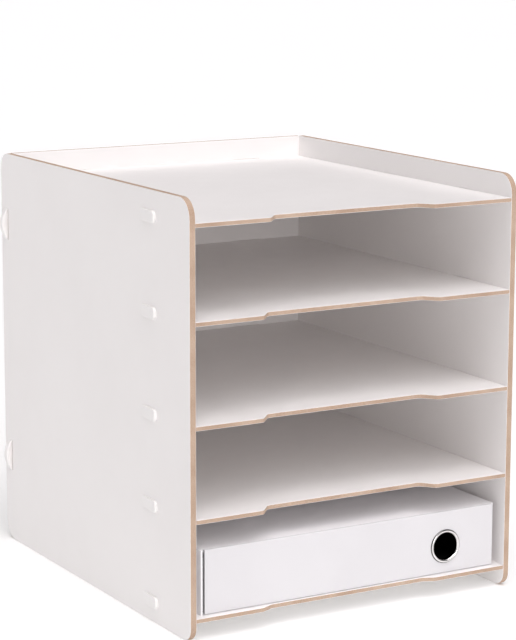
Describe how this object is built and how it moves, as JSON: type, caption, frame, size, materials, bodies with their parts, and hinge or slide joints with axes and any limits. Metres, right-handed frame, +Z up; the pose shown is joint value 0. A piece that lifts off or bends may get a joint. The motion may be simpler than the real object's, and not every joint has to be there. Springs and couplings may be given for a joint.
{
  "type": "envelope sorter",
  "caption": "Open desk sorter of thin white boards with stacked shelves, finger recesses and a sliding drawer in a sleeve on the bottom shelf.",
  "frame": {"origin": "bottom centre of the whole sorter, on the surface it stands on", "axes": "+X to the right, +Y to the back, +Z up; the open side faces -Y"},
  "size_m": [0.351, 0.39, 0.39],
  "materials": {
    "faced_board": "smooth satin white facing, raw tan edges",
    "white_cap": "satin moulded white",
    "sleeve_card": "smooth white covering paper over board",
    "drawer_card": "smooth white covering paper outside, black lining inside",
    "polished_metal": "polished"
  },
  "bodies": {
    "sorter": {"left_side_panel": "faced_board", "right_side_panel": "faced_board", "back_panel": "faced_board", "bottom_shelf": "faced_board", "lower_shelf": "faced_board", "middle_shelf": "faced_board", "upper_shelf": "faced_board", "top_shelf": "faced_board", "left_cap_bottom": "white_cap", "left_cap_lower": "white_cap", "left_cap_middle": "white_cap", "left_cap_upper": "white_cap", "left_cap_top": "white_cap", "right_cap_bottom": "white_cap", "right_cap_lower": "white_cap", "right_cap_middle": "white_cap", "right_cap_upper": "white_cap", "right_cap_top": "white_cap", "left_clip_lower": "white_cap", "left_clip_upper": "white_cap", "right_clip_lower": "white_cap", "right_clip_upper": "white_cap", "sleeve_base": "sleeve_card", "sleeve_left_wall": "sleeve_card", "sleeve_right_wall": "sleeve_card", "sleeve_top": "sleeve_card", "sleeve_back_wall": "sleeve_card"},
    "drawer": {"drawer_front": "drawer_card", "drawer_left_wall": "drawer_card", "drawer_right_wall": "drawer_card", "drawer_back_wall": "drawer_card", "drawer_floor": "drawer_card", "finger_ring": "polished_metal", "ring_washer": "polished_metal"}
  },
  "joints": [
    {"name": "drawer_slide", "type": "slide", "parent": "sorter", "child": "drawer", "axis": [0, -1, 0], "range_m": [0, 0.3]}
  ]
}
